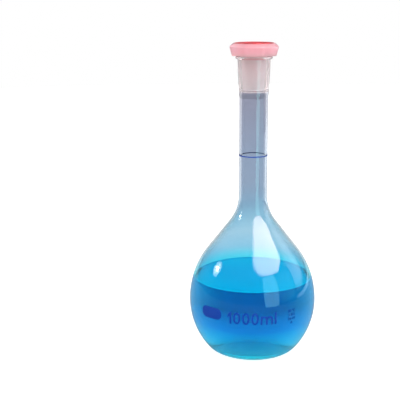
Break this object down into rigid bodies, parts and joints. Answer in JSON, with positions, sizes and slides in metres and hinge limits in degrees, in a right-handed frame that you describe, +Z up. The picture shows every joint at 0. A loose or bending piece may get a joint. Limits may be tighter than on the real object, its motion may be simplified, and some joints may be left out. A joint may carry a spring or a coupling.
{
  "type": "volumetric flask",
  "caption": "Pear-bulb volumetric flask for 1000 ml with a long ringed neck, ground conical joint, tapered plastic stopper with coloured insert and a blue solution.",
  "frame": {"origin": "centre of the foot, on the surface the flask stands on", "axes": "+Z up along the neck; -Y is the front, which carries the printed capacity"},
  "size_m": [0.1218, 0.1219, 0.2977],
  "materials": {
    "clear_glass": "clear borosilicate glass, fire polished, ground matt inside the joint",
    "natural_polyethylene": "translucent natural polyethylene, moulded",
    "red_plastic": "red moulded plastic",
    "blue_solution": "clear blue aqueous solution",
    "blue_enamel": "fired blue screen-print enamel"
  },
  "bodies": {
    "flask": {"flask_glass": "clear_glass", "solution": "blue_solution", "graduation_ring": "blue_enamel", "capacity_marking": "blue_enamel", "writing_panel": "blue_enamel"},
    "stopper_insert": {"colour_insert": "red_plastic"},
    "stopper": {"stopper_shell": "natural_polyethylene"}
  },
  "joints": [
    {"name": "stopper_lift", "type": "slide", "parent": "flask", "child": "stopper_insert", "axis": [0, 0, 1], "range_m": [0, 0.06]},
    {"name": "stopper_twist", "type": "hinge", "parent": "stopper_insert", "child": "stopper", "pos_m": [0, 0, 0.286], "axis": [0, 0, 1], "continuous": true}
  ]
}
